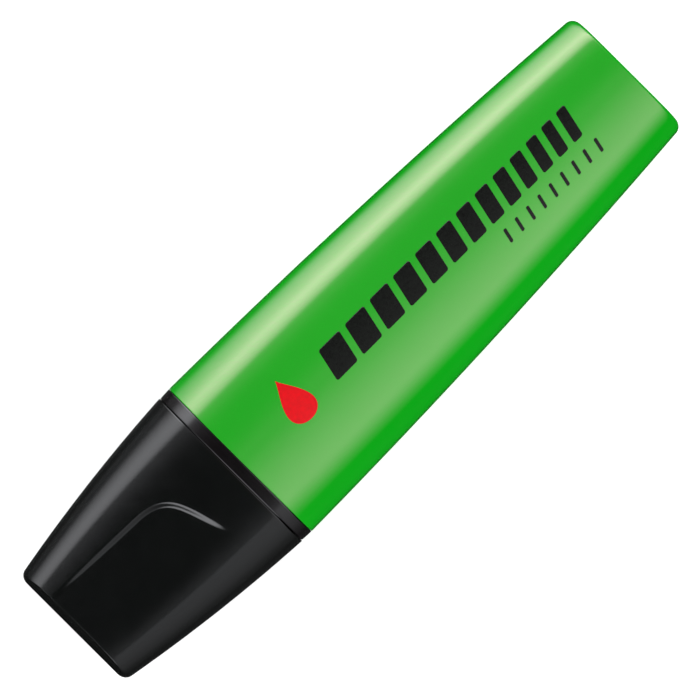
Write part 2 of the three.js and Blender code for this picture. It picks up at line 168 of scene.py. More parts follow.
def inset(section, by):
    x, half_width, half_thickness, corner = section
    return np.array([x, half_width - by, half_thickness - by, max(corner - by, SMALLEST_CORNER)])


def shrunk(section, share):
    x, *sizes = section
    return np.array([x, *(share * size for size in sizes)])


def bows(half_width, half_thickness, corner):
    """The flat strip's half width, and the radii of the crown and of the side, all tangent."""
    flat = FLAT_SHARE * half_width
    crown_sin, crown_drop = math.sin(CROWN_ANGLE), 1 - math.cos(CROWN_ANGLE)
    side_sin, side_drop = math.sin(SIDE_ANGLE), 1 - math.cos(SIDE_ANGLE)
    across = half_width - flat - corner * (math.cos(SIDE_ANGLE) - crown_sin)
    through = half_thickness - corner * (math.cos(CROWN_ANGLE) - side_sin)
    share = crown_sin * side_sin - crown_drop * side_drop
    crown_radius = (across * side_sin - through * side_drop) / share
    side_radius = (through * crown_sin - across * crown_drop) / share
    return flat, crown_radius, side_radius


def outline(half_width, half_thickness, corner, counts):
    """Points (y, z) once round a cross-section, from +Y towards +Z and on.

    Each quarter is a bowed side, a corner arc, a shallow crown and a flat strip. counts says how
    many steps each of the four takes.
    """
    flat, crown_radius, side_radius = bows(half_width, half_thickness, corner)
    corner_end = math.pi / 2 - CROWN_ANGLE
    arcs = [
        (side_radius, 0, SIDE_ANGLE, counts[0]),
        (corner, SIDE_ANGLE, corner_end, counts[1]),
        (crown_radius, corner_end, math.pi / 2, counts[2]),
    ]
    points = np.array([[half_width, 0.0]])
    for radius, start, end, steps in arcs:
        angles = np.linspace(start, end, steps + 1)
        arc = radius * np.column_stack([np.cos(angles), np.sin(angles)])
        points = np.vstack([points, points[-1] + (arc - arc[0])[1:]])
    strip = np.column_stack(
        [np.linspace(flat, 0, counts[3] + 1), np.full(counts[3] + 1, half_thickness)]
    )
    quarter = np.vstack([points[:-1], strip])
    across_y, across_z = quarter * [-1, 1], quarter * [1, -1]
    return np.vstack([quarter[:-1], across_y[:0:-1], -quarter[:-1], across_z[:0:-1]])


# ---- Meshes --------------------------------------------------------------------------------------


def rounded(path, cuts, steps=6):
    """The path with each point that has a cut replaced by a round arc that starts that far off."""
    rows = []
    for i, (point, cut) in enumerate(zip(path, cuts)):
        if not cut:
            rows.append(point)
            continue
        before, after = path[i - 1] - point, path[(i + 1) % len(path)] - point
        before_length, after_length = np.linalg.norm(before), np.linalg.norm(after)
        start = point + before * min(cut / before_length, 0.5)
        end = point + after * min(cut / after_length, 0.5)
        turn = before @ after / (before_length * after_length)
        pull = math.sqrt((1 - turn) / 2)  # the sine of half the corner's angle gives a true arc
        for t in np.linspace(0, 1, steps + 1):
            weights = np.array([(1 - t) ** 2, 2 * pull * t * (1 - t), t * t])
            rows.append(weights @ np.array([start, point, end]) / weights.sum())
    return rows


def rings_of(path, counts):
    """One ring of points for each row of the path, as an array of rings x points x 3."""
    rings = []
    for x, half_width, half_thickness, corner in path:
        points = outline(half_width, half_thickness, corner, counts)
        rings.append(np.column_stack([np.full(len(points), x), points]))
    return np.array(rings) + [0, 0, AXIS_Z]


def skin(name, rings, looped=False):
    """A closed smooth mesh through rings: looped, or with a centre point at each end."""
    ring_count, around = rings.shape[:2]
    index = np.arange(ring_count * around).reshape(ring_count, around)
    rows = np.vstack([index, index[:1]]) if looped else index
    near, far = rows[:-1], rows[1:]
    quads = np.stack(
        [near, np.roll(near, -1, axis=1), np.roll(far, -1, axis=1), far], axis=-1
    )
    faces = quads.reshape(-1, 4).tolist()
    points = rings.reshape(-1, 3)
    if not looped:
        first, last = len(points), len(points) + 1
        points = np.vstack([points, rings[0].mean(axis=0), rings[-1].mean(axis=0)])
        for a, b in zip(index[0], np.roll(index[0], -1)):
            faces.append([first, int(b), int(a)])
        for a, b in zip(index[-1], np.roll(index[-1], -1)):
            faces.append([last, int(a), int(b)])
    return mesh_piece(name, points, faces)


def mesh_piece(name, points, faces):
    mesh = bpy.data.meshes.new(name)
    mesh.from_pydata((np.asarray(points) * MM).tolist(), [], faces)
    mesh.polygons.foreach_set("use_smooth", [True] * len(mesh.polygons))
    mesh.update()
    piece = bpy.data.objects.new(name, mesh)
    bpy.context.scene.collection.objects.link(piece)
    return piece


def dress(piece, material, body, slot, *nodes):
    """Gives a piece its material and body, and hides the CAD nodes that it stands for."""
    piece.data.materials.clear()
    piece.data.materials.append(material)
    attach(piece, body)
    if nodes:
        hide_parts(*nodes)
    return piece


def along(section_of, start, end, count):
    return [section_of(x) for x in np.linspace(start, end, count)]


END_SHARES = (0.03, 0.15, 0.35, 0.55, 0.75, 0.9)  # rings that fill a flat end, from its centre out
SAME_PLACE = 1e-6


def flat_end(section):
    return [shrunk(section, share) for share in END_SHARES]


def rounded_end(section_of, end_x, outward, side_radius, face_radius, steps):
    """Rows from the body's side round to its flat end, which faces along outward (1 or -1).

    The narrow sides turn in over side_radius, and the broad faces over face_radius, which is smaller.
    """
    rows = []
    for turn in np.linspace(0, math.pi / 2, steps + 1):
        from_end = side_radius * (1 - math.sin(turn))
        side = side_radius * (1 - math.cos(turn))
        face = face_radius - math.sqrt(face_radius**2 - max(face_radius - from_end, 0) ** 2)
        section = section_of(end_x - outward * from_end)
        rows.append(section - [0, side, face, (side + face) / 2])
    return rows


# ---- Barrel --------------------------------------------------------------------------------------

TAIL_BULGE = 0.12
TAIL_ROUNDING = {"side_radius": 1.15, "face_radius": 0.4, "steps": 24}
BARREL_RIM_ROWS = (0, 0.15, 0.25, 0.5)  # places back from the rim, close enough to keep it crisp
BARREL_RIM_CUTS = {"inside": 0.15, "outside": 0.12}
ROWS_STOP = 0.2  # the rows along the barrel stop this far before its tail's rounding


def make_barrel(material):
    """The closed green shell, from the middle of its inside end, round the rim, to its tail."""
    inside = along(barrel_section, TAIL_X - BARREL_WALL, BARREL_RIM_X, count=24)
    inside = [inset(section, BARREL_WALL) for section in inside]
    tail = rounded_end(barrel_section, TAIL_X - TAIL_BULGE, 1, **TAIL_ROUNDING)
    *rim_rows, first_back = BARREL_RIM_ROWS
    rim = [barrel_section(BARREL_RIM_X + back) for back in rim_rows]
    start_x, end_x = BARREL_RIM_X + first_back, tail[0][0] - ROWS_STOP
    outside = [*rim, *along(barrel_section, start_x, end_x, count=90)]
    path = [*flat_end(inside[0]), *inside, *outside, *tail, *flat_end(tail[-1])[::-1]]
    rim_outer = len(END_SHARES) + len(inside)
    cuts = [0] * len(path)
    cuts[rim_outer - 1] = BARREL_RIM_CUTS["inside"]
    cuts[rim_outer] = BARREL_RIM_CUTS["outside"]
    rings = rings_of(rounded(path, cuts, steps=12), counts=(8, 30, 20, 5))

    flat_x, half_width, half_thickness, _ = tail[-1]
    at_tail = np.abs(rings[..., 0] - flat_x) < SAME_PLACE
    across = rings[..., 1] / half_width
    through = (rings[..., 2] - AXIS_Z) / half_thickness
    crown = np.clip(1 - across**2, 0, 1) * np.clip(1 - through**2, 0, 1)
    rings[..., 0] += at_tail * TAIL_BULGE * crown
    return dress(skin("barrel_shell", rings), material, "pen", "barrel_green", "barrel")


def make_barrel_ribs(material):
    """The ribs inside the barrel that centre the reservoir: bars whose outer edge is in its wall."""
    half = RIB["thickness"] / 2
    wrap_half_width = (wrap_high[1] - wrap_low[1]) / 2 + RIB["clearance"]
    wrap_half_thickness = (wrap_high[2] - wrap_low[2]) / 2 + RIB["clearance"]
    walls = along(barrel_section, PLUG_END_X + RIB["from_plug"], TAIL_X - BARREL_WALL, RIB["rows"])
    walls = [section - [0, BARREL_WALL / 2, BARREL_WALL / 2, 0] for section in walls]
    points, faces = [], []
    for y in (-RIB["spacing"] / 2, RIB["spacing"] / 2):
        for face in (-1, 1):
            add_rib(points, faces, [
                (x, (y - half, y + half), (face * wrap_half_thickness, face * half_thickness))
                for x, _, half_thickness, _ in walls
            ])
    for side in (-1, 1):
        add_rib(points, faces, [
            (x, (side * wrap_half_width, side * half_width), (-half, half))
            for x, half_width, _, _ in walls
        ])
    ribs = mesh_piece("barrel_ribs", points, faces)
    return dress(ribs, material, "pen", "barrel_green")


def add_rib(points, faces, sections):
    """Adds one bar through rectangular sections, each (x, both y, both z)."""
    base, steps = len(points), len(sections) - 1
    for x, both_y, both_z in sections:
        (y0, y1), (z0, z1) = sorted(both_y), sorted(both_z)
        for y, z in ((y0, z0), (y1, z0), (y1, z1), (y0, z1)):
            points.append([x, y, z + AXIS_Z])
    for i in range(steps):
        ring = base + 4 * i
        for j in range(4):
            k = (j + 1) % 4
            faces.append([ring + j, ring + k, ring + 4 + k, ring + 4 + j])
    last = base + 4 * steps
    faces.append([base + 3, base + 2, base + 1, base])
    faces.append([last, last + 1, last + 2, last + 3])


# ---- Cap -----------------------------------------------------------------------------------------

RECESS_EDGE = ((36, 4.9), (13.6, 4.15), (7.3, -0.9), (6.0, -5.2), (3.0, -14))
RECESS_BEND_PULLS = ((8.9, 4.05), (8.2, 1.7))
RECESS_DEPTH = 0.45
RECESS_FADE_BACK = (33, 20)  # it runs out this far back of the rim, over this length
RECESS_FADE_ACROSS = (-1.0, 0.095)  # and from this far across, towards -Y, loses this much per mm
RECESS_FADE_SOFTNESS = 1.5
RECESS_WALL = 0.8
RECESS_SOFTNESS = 0.06
CHAMFER_SOFTNESS = 0.02
CAP_END_ROUNDING = {"side_radius": 1.05, "face_radius": 0.8, "steps": 34}
CREASE_ROWS = {"before": 0.03, "after": 0.05, "count": 9}  # close rows where the bevel ends
CAP_STEP = 0.19
CAP_ROUNDING_STEPS = 14
CAP_CUTS = {"rim_outside": 0.06, "rim_inside": 0.25, "inside_end": 0.4}
LINER_SOCKET = {"clearance": 0.15, "corner": 2.7}
LINER_BOSS = {"wider": 0.85, "thicker": 0.4, "corner": 2.9, "height": 2.5}


def recess_edge():
    """The recess's top edge, as points (back from the rim, across), bend included."""
    far, bend_start, bend_end, tip, past_tip = map(np.array, RECESS_EDGE)
    pull_1, pull_2 = map(np.array, RECESS_BEND_PULLS)
    bend = [
        (1 - t) ** 3 * bend_start
        + 3 * t * (1 - t) ** 2 * pull_1
        + 3 * t * t * (1 - t) * pull_2
        + t**3 * bend_end
        for t in np.linspace(0, 1, 24)
    ]
    return np.array([far, *bend, tip, past_tip])


def ease(share):
    """0 below 0, 1 above 1, and a smooth turn from one to the other between."""
    share = np.clip(share, 0, 1)
    return share * share * (3 - 2 * share)


def above_zero(value, softness):
    """The value where it is above zero, and nearly zero elsewhere, with a soft turn between."""
    return (value + np.sqrt(value**2 + softness**2)) / 2


def recess_depth(back, across):
    """How deep the thumb recess is at points back from the cap's rim and across its width."""
    edge = recess_edge()
    point = np.stack([back, across], axis=-1)
    nearest = np.full(back.shape, np.inf)
    inside = np.zeros(back.shape)
    for start, end in zip(edge[:-1], edge[1:]):
        run = end - start
        share = np.clip(((point - start) @ run) / (run @ run), 0, 1)
        offset = point - (start + share[..., None] * run)
        distance = np.hypot(offset[..., 0], offset[..., 1])
        side = run[0] * offset[..., 1] - run[1] * offset[..., 0]
        closer = distance < nearest
        nearest = np.where(closer, distance, nearest)
        inside = np.where(closer, np.sign(side), inside)
    wall = ease(nearest * inside / RECESS_WALL + 0.5)
    last_back, fade_length = RECESS_FADE_BACK
    fade_across, loss = RECESS_FADE_ACROSS
    lost = loss * above_zero(fade_across - across, RECESS_FADE_SOFTNESS)
    floor = above_zero(RECESS_DEPTH - lost, RECESS_SOFTNESS)
    return wall * floor * ease((last_back - back) / fade_length)


def make_cap(material):
    """The black cap: closed end, outside with its recesses and bevels, rim, inside and liner socket."""
    end = rounded_end(cap_section, CAP_END_X, -1, **CAP_END_ROUNDING)[::-1]
    bevel_x = CAP_END_X + END_CHAMFER_LENGTH
    crease_start, crease_end = bevel_x - CREASE_ROWS["before"], bevel_x + CREASE_ROWS["after"]
    crease = along(cap_section, crease_start, crease_end, CREASE_ROWS["count"])
    start_x = crease_end + CAP_STEP
    rest = along(cap_section, start_x, CAP_RIM_X, int((CAP_RIM_X - start_x) / CAP_STEP))
    outside = [*crease, *rest]
    inside_end_x = CAP_END_X + CAP_END_WALL
    inside = along(cap_section, CAP_RIM_X, inside_end_x, count=20)
    inside = [inset(section, CAP_WALL) for section in inside]
    inner = liner_boss(inside_end_x)
    path = [*flat_end(end[0]), *end, *outside, *inside, *inner, *flat_end(inner[-1])[::-1]]
    cuts = [0] * len(path)
    rim_outer = len(END_SHARES) + len(end) + len(outside) - 1
    cuts[rim_outer] = CAP_CUTS["rim_outside"]
    cuts[rim_outer + 1] = CAP_CUTS["rim_inside"]
    cuts[rim_outer + len(inside)] = CAP_CUTS["inside_end"]
    path = rounded(path, cuts, steps=CAP_ROUNDING_STEPS)
    rings = rings_of(path, counts=(6, 18, 50, 15))

    rim_face = next(i for i, row in enumerate(path) if row[0] == CAP_RIM_X)
    outer = rings[: rim_face + CAP_ROUNDING_STEPS]
    height = outer[..., 2] - AXIS_Z
    face = np.sign(height)
    into_end = outer[..., 0] - CAP_END_X
    bevel_start = CAP_END_THICKNESS / 2 - END_CHAMFER_DEPTH
    limit = bevel_start + into_end * END_CHAMFER_DEPTH / END_CHAMFER_LENGTH
    height = np.abs(height) - face_recess(outer, face)
    height = (height + limit - np.sqrt((height - limit) ** 2 + CHAMFER_SOFTNESS**2)) / 2
    outer[..., 2] = AXIS_Z + face * height
    return dress(skin("cap_shell", rings), material, "cap", "cap_black", "cap")


def liner_boss(inside_end_x):
    """Rows of the raised ring on the cap's inside end, and of the socket in it for the liner."""
    half_width, half_thickness = LINER["half_width"], LINER["half_thickness"]
    gap = LINER_SOCKET["clearance"]
    socket = np.array([0, half_width + gap, half_thickness + gap, LINER_SOCKET["corner"]])
    boss_sides = half_width + LINER_BOSS["wider"], half_thickness + LINER_BOSS["thicker"]
    boss = np.array([0, *boss_sides, LINER_BOSS["corner"]])
    top_x = inside_end_x + LINER_BOSS["height"]
    return [
        boss + [inside_end_x, 0, 0, 0],
        boss + [top_x, 0, 0, 0],
        socket + [top_x, 0, 0, 0],
        socket + [inside_end_x, 0, 0, 0],
    ]


def face_recess(outer, face):
    """Recess depth at each outside point: the underside's recess is the top's, half a turn round."""
    back = CAP_RIM_X - outer[..., 0]
    return recess_depth(back, outer[..., 1] * face)


LINER_LIP = {"height": 0.25, "corner": 0.2, "length": 0.9, "slope_start": 1.2}
LINER_CUTS = (0.5, 0.1, 0.1, 0.25, 0.25, 0.4)  # how far off each corner its rounding starts


def make_inner_cap(material):
    """The soft liner that closes round the snout, a small tub with a rolled lip."""
    half_width, half_thickness, wall = LINER.values()
    tub = np.array([0, half_width, half_thickness, CORNER_SHARE * half_thickness])
    lip = tub + [0, LINER_LIP["height"], LINER_LIP["height"], LINER_LIP["corner"]]
    hollow = tub - [0, wall, wall, wall]
    end_x, mouth_x = LINER_END_X, LINER_MOUTH_X
    outer = [tub + [x, 0, 0, 0] for x in (end_x, mouth_x - LINER_LIP["slope_start"])]
    rolled = [lip + [x, 0, 0, 0] for x in (mouth_x - LINER_LIP["length"], mouth_x)]
    inner = [hollow + [x, 0, 0, 0] for x in (mouth_x, end_x + wall)]
    path = [*flat_end(outer[0]), *outer, *rolled, *inner, *flat_end(inner[-1])[::-1]]
    ends = [0] * len(END_SHARES)
    path = rounded(path, [*ends, *LINER_CUTS, *ends])
    liner = skin("inner_cap_liner", rings_of(path, counts=(4, 12, 8, 2)))
    return dress(liner, material, "cap", "liner_black", "inner_cap")


# ---- Front section and nib -----------------------------------------------------------------------

SNOUT_TAPER = np.array([0, 0.3, 0.3, 0.2])  # its back is this much larger than its front
NECK_EDGE = {"before": 0.3, "after": 0.6, "inset": 0.6}
HOLLOW_INSET = 0.5
COLLAR_ROWS = {"front": 0.5, "back": 0.12}  # rows this far inside its edges, which keep them crisp
PLUG_LEAD = {"length": 0.8, "inset": 0.3}
BORE_TOLERANCE = 0.2


def make_front_section(material):
    """Collar, plug, neck, shoulder and snout, a single moulding that is open right through.

    Each row of its path comes with how far off its corner the rounding starts, 0 for none.
    """
    bead_x = COLLAR_FRONT_X - SNAP_BEAD["from_collar"]
    bead_half = SNAP_BEAD["half_length"]
    snout = np.array([0, *SNOUT, CORNER_SHARE * SNOUT[1]])
    nib_bar = np.array([0, NIB_HALF_WIDTH, NIB_HALF_THICKNESS, NIB_CORNER])
    bore = nib_bar + [0, NIB_CLEARANCE, NIB_CLEARANCE, NIB_CLEARANCE]
    neck_front = neck_section(NECK_FRONT_X)
    bulkhead_x = NECK_FRONT_X + FRONT_WALL
    hollow_front = inset(neck_front, HOLLOW_INSET + FRONT_WALL) + [FRONT_WALL, 0, 0, 0]
    plug_end = plug_section(PLUG_END_X)
    path_and_cuts = [
        (snout + [SNOUT_FRONT_X, 0, 0, 0], 0.45),
        (snout + SNOUT_TAPER + [SNOUT_BACK_X, 0, 0, 0], 1.0),
        (inset(neck_front, NECK_EDGE["inset"]) - [NECK_EDGE["before"], 0, 0, 0], 0.7),
        (neck_section(NECK_FRONT_X + NECK_EDGE["after"]), 0.3),
        (neck_section(bead_x - bead_half), 0.25),
        (inset(neck_section(bead_x), -SNAP_BEAD["height"]), 0.4),
        (neck_section(bead_x + bead_half), 0.25),
        (neck_section(COLLAR_FRONT_X), 0.1),
        (drafted_collar(0), 0.25),
        (drafted_collar(COLLAR_ROWS["front"]), 0),
        (drafted_collar(COLLAR_LENGTH - COLLAR_ROWS["back"]), 0),
        (collar_section(COLLAR_BACK_X), 0.06),
        (plug_section(COLLAR_BACK_X), 0.05),
        (plug_section(PLUG_END_X - PLUG_LEAD["length"]), 0.3),
        (inset(plug_end, PLUG_LEAD["inset"]), 0.15),
        (inset(plug_end, FRONT_WALL), 0.15),
        (inset(plug_section(COLLAR_BACK_X), FRONT_WALL), 0.3),
        (inset(neck_section(COLLAR_FRONT_X), FRONT_WALL), 0.3),
        (hollow_front, 0.4),
        (bore + [bulkhead_x, 0, 0, 0], 0.15),
        (bore + [SNOUT_FRONT_X, 0, 0, 0], 0.15),
    ]
    path = [row for row, _ in path_and_cuts]
    cuts = [cut for _, cut in path_and_cuts]
    path = np.array(rounded(path, cuts, steps=8))
    rings = rings_of(path, counts=(6, 24, 16, 10))

    in_bore = np.abs(path[:, 1] - bore[1]) < BORE_TOLERANCE
    channel = np.exp(-((rings[..., 1] / VENT["half_width"]) ** 4)) * VENT["depth"]
    rings[..., 2] += in_bore[:, None] * np.sign(rings[..., 2] - AXIS_Z) * channel
    front = skin("front_moulding", rings, looped=True)
    return dress(front, material, "pen", "front_black", "front_section")


NIB_TAIL = {"length": 2.5, "narrower": 0.9, "corner": 0.1}
NIB_CUT = 0.3


def make_nib(material):
    """The felt bar: tapered tail, slanted front, and two bevels down to the writing edge."""
    bar = np.array([0, NIB_HALF_WIDTH, NIB_HALF_THICKNESS, NIB_CORNER])
    tail = bar + [NIB_TAIL_X, -NIB_TAIL["narrower"], -NIB_TAIL["narrower"], -NIB_TAIL["corner"]]
    shaft_x = np.linspace(NIB_TAIL_X - NIB_TAIL["length"], SNOUT_FRONT_X, 12)
    shaft = [bar + [x, 0, 0, 0] for x in shaft_x]
    head_x = np.linspace(SNOUT_FRONT_X, NIB_TIP_X, 40)[1:]
    head = [bar + [x, 0, 0, 0] for x in head_x]
    path = [*flat_end(tail), tail, *shaft, *head, *flat_end(head[-1])[::-1]]
    cuts = [0] * len(path)
    cuts[len(END_SHARES)] = NIB_CUT
    cuts[len(END_SHARES) + len(shaft) + len(head)] = NIB_CUT
    rings = rings_of(rounded(path, cuts)[::-1], counts=(5, 8, 14, 4))

    reach = SNOUT_FRONT_X - NIB_TIP_X
    out = np.clip((SNOUT_FRONT_X - rings[..., 0]) / reach, 0, 1)
    slant = np.tan(NIB_SLANT) * (rings[..., 1] + NIB_HALF_WIDTH)
    to_tip = np.clip(1 - (1 - out) * reach / NIB_BEVEL_LENGTH, 0, 1)
    thin = 1 - to_tip * (1 - NIB_WRITING_EDGE / 2 / NIB_HALF_THICKNESS)
    rings[..., 2] = AXIS_Z + (rings[..., 2] - AXIS_Z) * thin
    rings[..., 0] += slant * out
    nib = skin("chisel_nib", rings)
    return dress(nib, material, "pen", "nib_felt", "nib")


# ---- Print on the barrel -------------------------------------------------------------------------

PRINT_LIFT = 0.012
PRINT_SINK = 0.02
PRINT_EDGE_SHARE = 0.96  # the last ring before a mark's edge, as a share of the way out


def barrel_top(x, y):
    """Height of the barrel's upper face at x, y, on its flat strip or its crown."""
    _, half_width, half_thickness, corner = barrel_section(x)
    flat, crown_radius, _ = bows(half_width, half_thickness, corner)
    past_flat = max(abs(y) - flat, 0)
    drop = crown_radius - math.sqrt(crown_radius**2 - past_flat**2)
    return AXIS_Z + half_thickness - drop


def add_mark(points, faces, centre, edge, rings=8):
    """Adds one printed mark: a thin film inside a closed edge, laid on the barrel's upper face."""
    base, count = len(points), len(edge)
    centre = np.array(centre)
    for share in [*np.linspace(0, PRINT_EDGE_SHARE, rings)[1:], 1]:
        for spot in centre + share * (np.asarray(edge) - centre):
            points.append([*spot, barrel_top(*spot) + PRINT_LIFT])
    for spot in np.asarray(edge):
        points.append([*spot, barrel_top(*spot) - PRINT_SINK])
    points.append([*centre, barrel_top(*centre) + PRINT_LIFT])
    points.append([*centre, barrel_top(*centre) - PRINT_SINK])
    top, bottom = len(points) - 2, len(points) - 1
    for j in range(count):
        k = (j + 1) % count
        faces.append([top, base + j, base + k])
        for i in range(rings):
            ring = base + i * count
            faces.append([ring + j, ring + count + j, ring + count + k, ring + k])
        under = base + rings * count
        faces.append([bottom, under + k, under + j])


def rounded_bar(centre, width, height, slant, radius=0.35, steps=8):
    """The edge of a leaning bar with rounded corners, anticlockwise."""
    edge = []
    corners = [(1, -1, -90), (1, 1, 0), (-1, 1, 90), (-1, -1, 180)]
    radius = min(radius, width / 2.2)
    for side, end, turn in corners:
        arc_x = side * (width / 2 - radius)
        arc_y = end * (height / 2 - radius)
        for angle in np.radians(np.linspace(turn, turn + 90, steps)):
            edge.append([arc_x + radius * math.cos(angle), arc_y + radius * math.sin(angle)])
        if side == end:  # a short side comes next, and needs no points between its corners
            continue
        for y in np.linspace(arc_y, -arc_y, steps)[1:-1]:
            edge.append([side * width / 2, y])
    return [[centre[0] + x + slant * y, centre[1] + y] for x, y in edge]


DROP_TAPER = 1.6
DROP_WIDENING = 1.3  # gives back most of the width that the taper takes


def drop_edge(centre, width, height, steps=72):
    """The edge of an ink drop with its point towards +Y, anticlockwise."""
    edge = []
    for angle in np.linspace(0, 2 * math.pi, steps, endpoint=False):
        taper = math.sin(angle / 2) ** DROP_TAPER
        x = width / 2 * DROP_WIDENING * math.sin(angle) * taper
        y = height / 2 * math.cos(angle)
        edge.append([centre[0] - x, centre[1] + y])
    return edge


DROP_CENTRE = (-10.0, 0.7)
DROP_SIZE = (5.0, 7.0)
STRIPES = {"start": -3.6, "end": 42.6, "centre_y": 0.6, "height": 4.65, "gap": 1.05, "slant": 0.22}
STRIPE_COUNT = 13
STRIPE_SHRINK = 0.93  # each stripe is this much as wide as the one before
TICKS = {"start": 25.6, "end": 42.6, "centre_y": -4.15, "height": 2.0, "width": 0.5, "count": 9}


def make_print(red, black):
    """Plain printed shapes: a red ink drop, a row of black stripes and a row of small ticks."""
    points, faces = [], []
    add_mark(points, faces, DROP_CENTRE, drop_edge(DROP_CENTRE, *DROP_SIZE))
    dress(mesh_piece("print_drop", points, faces), red, "pen", "barrel_green")

    points, faces = [], []
    weights = STRIPE_SHRINK ** np.arange(STRIPE_COUNT)
    room = STRIPES["end"] - STRIPES["start"] - STRIPES["gap"] * (STRIPE_COUNT - 1)
    x = STRIPES["start"]
    for width in room * weights / weights.sum():
        centre = (x + width / 2, STRIPES["centre_y"])
        edge = rounded_bar(centre, width, STRIPES["height"], STRIPES["slant"])
        add_mark(points, faces, centre, edge)
        x += width + STRIPES["gap"]
    dress(mesh_piece("print_stripes", points, faces), black, "pen", "barrel_green")

    points, faces = [], []
    for x in np.linspace(TICKS["start"], TICKS["end"], TICKS["count"]):
        centre = (x, TICKS["centre_y"])
        edge = rounded_bar(centre, TICKS["width"], TICKS["height"], STRIPES["slant"], radius=0.2)
        add_mark(points, faces, centre, edge, rings=4)
    dress(mesh_piece("print_ticks", points, faces), black, "pen", "barrel_green")


# ---- Materials -----------------------------------------------------------------------------------


def node(tree, kind, inputs=None, **settings):
    """A shader node with its settings, and each input given a value or linked to a socket."""
    made = tree.nodes.new(kind)
    for key, value in settings.items():
        setattr(made, key, value)
    for key, value in (inputs or {}).items():
        if isinstance(value, bpy.types.NodeSocket):
            tree.links.new(value, made.inputs[key])
        else:
            made.inputs[key].default_value = value
    return made


def new_material(name):
    """An empty material with its output, and object coordinates in metres."""
    material = bpy.data.materials.new(name)
    material.use_nodes = True
    tree = material.node_tree
    tree.nodes.clear()
    output = node(tree, "ShaderNodeOutputMaterial")
    place = node(tree, "ShaderNodeTexCoord").outputs["Object"]
    return material, tree, output, place


def noise(tree, place, period, detail=3, stretch=(1, 1, 1)):
    """Noise with a period in millimetres, stretched along an axis by dividing its frequency."""
    scaled = node(
        tree,
        "ShaderNodeVectorMath",
        {0: place, 1: [1 / (period * MM * s) for s in stretch]},
        operation="MULTIPLY",
    )
    found = node(
        tree,
        "ShaderNodeTexNoise",
        {"Vector": scaled.outputs[0], "Scale": 1, "Detail": detail},
    )
    return found.outputs["Fac"]


def spread(tree, value, low, high, start=0.3, end=0.7):
    """Maps a value from start..end, where most of a noise lies, to low..high, clamped."""
    mapped = node(
        tree,
        "ShaderNodeMapRange",
        {"Value": value, "From Min": start, "From Max": end, "To Min": low, "To Max": high},
    )
    return mapped.outputs["Result"]


def blend_colour(tree, factor, first, second):
    mixed = node(
        tree,
        "ShaderNodeMix",
        {"Factor": factor, "A": (*first, 1), "B": (*second, 1)},
        data_type="RGBA",
    )
    return mixed.outputs["Result"]


def bump(tree, height, depth, normal=None):
    """A bump whose full height is depth millimetres."""
    inputs = {"Height": height, "Strength": 1.0, "Distance": depth * MM}
    if normal is not None:
        inputs["Normal"] = normal
    return node(tree, "ShaderNodeBump", inputs).outputs["Normal"]


WEAR_RANGE = (0.92, 1.1)  # gloss is this uneven, as shares of a plastic's roughness
WAVE_DEPTH = 0.004


def plastic(name, colour, dark, *, roughness, grain, grain_depth, gloss=0.5, gloss_tint=(1, 1, 1)):
    """Moulded plastic: faint flow marks in the colour, uneven gloss and a fine moulded grain.

    grain is the period of the grain, and grain_depth its height, both in millimetres.
    """
    material, tree, output, place = new_material(name)
    flow = noise(tree, place, period=9, detail=4, stretch=(3, 1, 1))
    tint = blend_colour(tree, spread(tree, flow, 0, 1), colour, dark)
    wear = noise(tree, place, period=2.2, detail=5)
    rough = spread(tree, wear, *(roughness * share for share in WEAR_RANGE))
    fine = noise(tree, place, period=grain, detail=2)
    wave = noise(tree, place, period=6, detail=2, stretch=(2, 1, 1))
    normal = bump(tree, wave, WAVE_DEPTH)
    normal = bump(tree, fine, grain_depth, normal)
    shader = node(
        tree,
        "ShaderNodeBsdfPrincipled",
        {
            "Base Color": tint,
            "Roughness": rough,
            "Normal": normal,
            "Specular IOR Level": gloss,
            "Specular Tint": (*gloss_tint, 1),
        },
    )
    tree.links.new(shader.outputs[0], output.inputs["Surface"])
    return material


FELT_ROUGHNESS = (0.8, 0.95)
FELT_SHEEN = 0.2


def felt(name, colour, dark, *, fibre, depth):
    """Bonded fibre: strands along X, matte, darker where they part."""
    material, tree, output, place = new_material(name)
    strands = noise(tree, place, period=fibre, detail=3, stretch=(12, 1, 1))
    soak = noise(tree, place, period=2.5, detail=3)
    tint = blend_colour(tree, spread(tree, strands, 0, 1), dark, colour)
    rough = spread(tree, soak, *FELT_ROUGHNESS)
    normal = bump(tree, strands, depth)
    shader = node(
        tree,
        "ShaderNodeBsdfPrincipled",
        {"Base Color": tint, "Roughness": rough, "Normal": normal, "Sheen Weight": FELT_SHEEN},
    )
    tree.links.new(shader.outputs[0], output.inputs["Surface"])
    return material


DRAW_LINE_DEPTH = 0.01
DRAW_LINE_SHADE = 0.85
DRAW_LINE_ROUGHENING = 1.6


def clear_plastic(name, colour, *, alpha, roughness):
    """Thin clear film or tube: faintly milky, with draw lines along X."""
    material, tree, output, place = new_material(name)
    lines = noise(tree, place, period=0.4, detail=2, stretch=(40, 1, 1))
    tint = blend_colour(tree, lines, colour, tuple(DRAW_LINE_SHADE * part for part in colour))
    rough = spread(tree, lines, roughness, roughness * DRAW_LINE_ROUGHENING)
    shader = node(
        tree,
        "ShaderNodeBsdfPrincipled",
        {
            "Base Color": tint,
            "Roughness": rough,
            "Normal": bump(tree, lines, DRAW_LINE_DEPTH),
            "Alpha": alpha,
        },
    )
    tree.links.new(shader.outputs[0], output.inputs["Surface"])
    return material


INK_ROUGHNESS = (0.2, 0.26)
INK_DEPTH = 0.004
INK_GLOSS = 0.1


